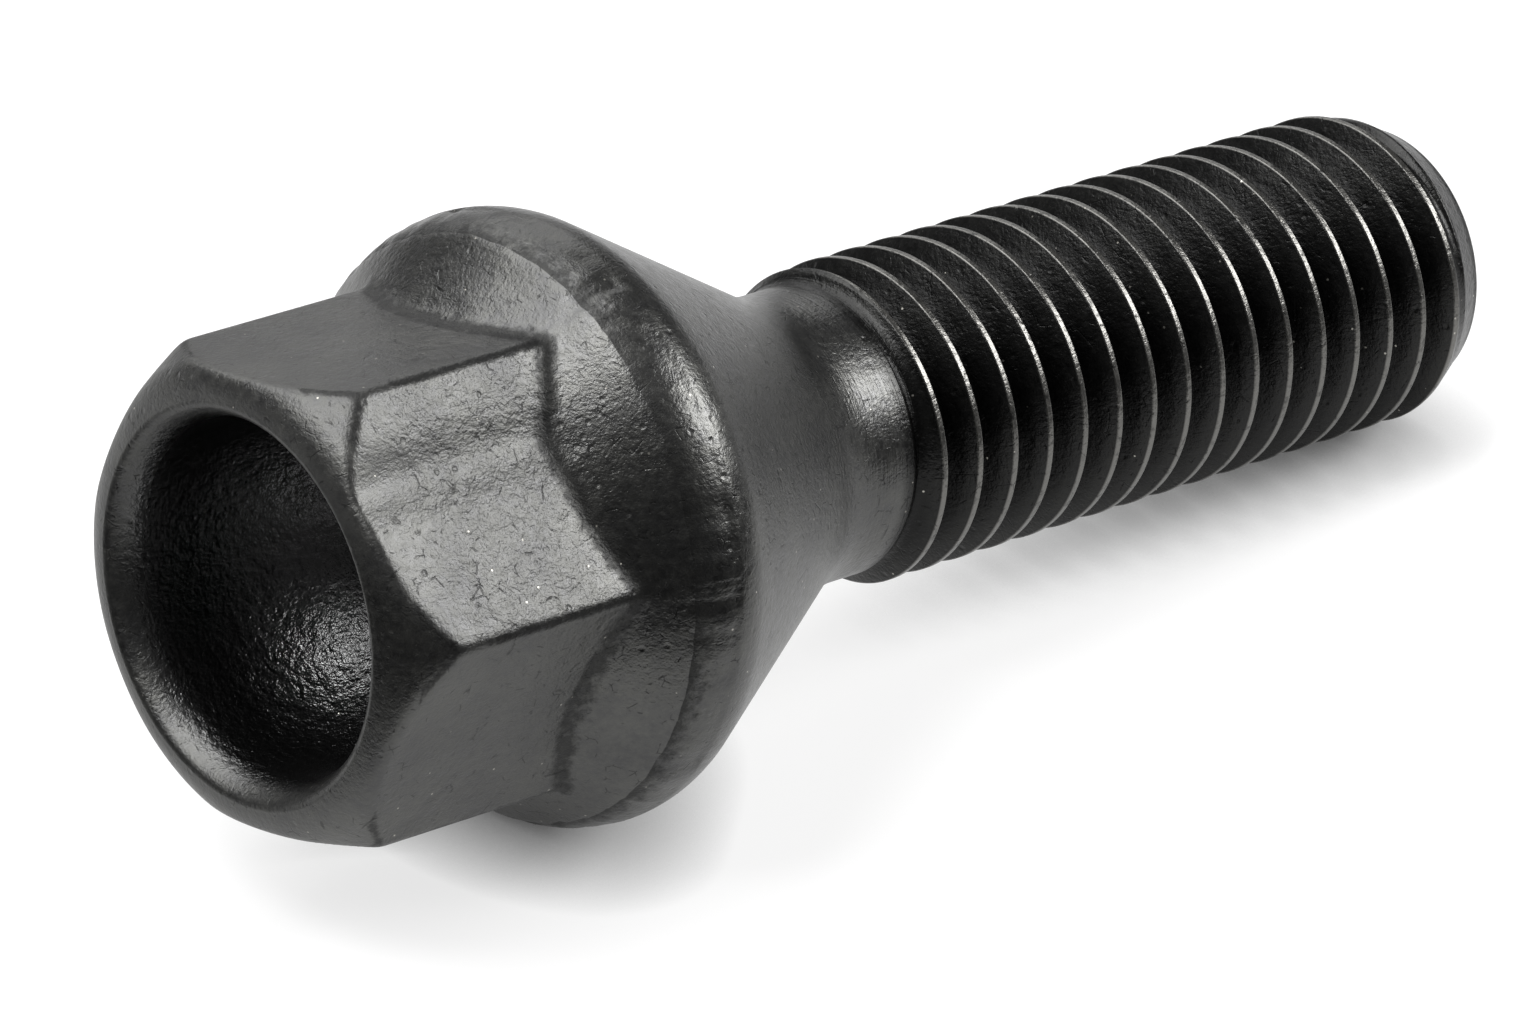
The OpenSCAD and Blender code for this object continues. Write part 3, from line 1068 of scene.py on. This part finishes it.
# ambient occlusion darkens the own white near the bolt: a painted contact shadow
open_share_for_painted_shadow = add_node(
    paper_tree, "ShaderNodeAmbientOcclusion", {"Distance": PAINTED_SHADOW_REACH}, samples=8
).outputs["AO"]
own_strength = add_node(
    paper_tree, math_node, {0: open_share_for_painted_shadow, 1: OWN_WHITE}, operation="MULTIPLY"
).outputs[0]
own_white = add_node(
    paper_tree, "ShaderNodeEmission", {"Color": WHITE, "Strength": own_strength}
).outputs[0]
lit = add_node(paper_tree, "ShaderNodeAddShader", {0: plain, 1: own_white}).outputs[0]
print("paper reaches white with", OWN_WHITE, "of its own")

# %% Its own white is seen and mirrored, but lights nothing, and its back is clear
rays = add_node(paper_tree, "ShaderNodeLightPath").outputs
seen = rays["Is Camera Ray"]
for kind in ("Is Glossy Ray", "Is Transmission Ray"):
    either = {0: seen, 1: rays[kind]}
    seen = add_node(paper_tree, math_node, either, operation="MAXIMUM").outputs[0]
front = add_node(paper_tree, "ShaderNodeMixShader", {0: seen, 1: plain, 2: lit}).outputs[0]
clear = add_node(paper_tree, "ShaderNodeBsdfTransparent").outputs[0]
from_behind = add_node(paper_tree, "ShaderNodeNewGeometry").outputs["Backfacing"]
both = add_node(
    paper_tree, "ShaderNodeMixShader", {0: from_behind, 1: front, 2: clear}
).outputs[0]
add_node(paper_tree, "ShaderNodeOutputMaterial", {"Surface": both})
table_mesh.materials.append(paper)
print("paper with", len(paper_tree.nodes), "nodes")

# %% [markdown]
# ## Black card
# Metal looks like what it mirrors. On an all-white table a dark bolt turns grey, so
# photographers stand a black card beside it, outside the picture. The card could be painted
# into the material as dark bands, but those would stay where they are when the view changes.
# A card that only reflections see gives the flare and the thread their dark side. It is matt
# black board, so it mirrors nothing itself.

# %% A folded card on the camera's side
CARD_LINE = ((-0.045, 0.02), (-0.045, -0.018), (-0.03, -0.034), (0.06, -0.034), (0.07, -0.02))
CARD_HEIGHT = 0.016
CARD_BLACK = from_hex("#191919")
card_points = [(x, y, h) for x, y in CARD_LINE for h in (0, CARD_HEIGHT)]
card_faces = [(2 * i, 2 * i + 2, 2 * i + 3, 2 * i + 1) for i in range(len(CARD_LINE) - 1)]
card_mesh = bpy.data.meshes.new("black card")
card_mesh.from_pydata(card_points, [], card_faces)
card = bpy.data.objects.new("black card", card_mesh)
bpy.context.scene.collection.objects.link(card)
card.matrix_world = from_table
card.visible_camera = card.visible_diffuse = card.visible_shadow = False
black = bpy.data.materials.new("black card")
black.use_nodes = True
black_inputs = black.node_tree.nodes["Principled BSDF"].inputs
black_inputs["Base Color"].default_value = CARD_BLACK
black_inputs["Roughness"].default_value = 0.9
card_mesh.materials.append(black)
print("card", len(card_faces), "panels,", CARD_HEIGHT * 1000, "mm high")

# %% [markdown]
# ## Light
# Soft studio light: a large box overhead and behind, a smaller key from the right that draws the
# bright flat, the rim's highlight and the neck's, a small box over the head for the glint in
# the recess, and a faint one behind. Lamps could be dragged about by eye. Each of these stands
# where the highlight's mirror direction in the photograph points. The room itself is a dim,
# even white.

# %% World
ROOM_LIGHT = 0.13
world = bpy.data.worlds.new("studio")
bpy.context.scene.world = world
world.use_nodes = True
room = world.node_tree.nodes["Background"].inputs
room["Color"].default_value = WHITE
room["Strength"].default_value = ROOM_LIGHT
print("room light", ROOM_LIGHT)


# %% Lamps
def softbox(name, towards, distance, size, radiance):
    """An area lamp in a direction from the bolt on its table, facing it."""
    lamp = bpy.data.lights.new(name, "AREA")
    lamp.shape = "RECTANGLE"
    lamp.size, lamp.size_y = size
    lamp.energy = radiance * math.pi * size[0] * size[1]
    holder = bpy.data.objects.new(name, lamp)
    bpy.context.scene.collection.objects.link(holder)
    where = Vector(towards).normalized()
    place_on_table(holder, where * distance + Vector((0, 0, 0.01)), -where)
    print(name + ":", round(lamp.energy, 2), "W")


softbox("key from the right", (0.66, -0.5, 0.56), 0.7, (0.28, 0.3), 16.0)
softbox("overhead", (-0.25, 0.36, 0.9), 0.7, (0.75, 0.53), 4.8)
softbox("small one over the head", (-0.5, 0.0, 0.87), 0.7, (0.16, 0.16), 15.0)
softbox("back", (0.4, 0.78, 0.5), 1.0, (0.9, 0.5), 1.8)
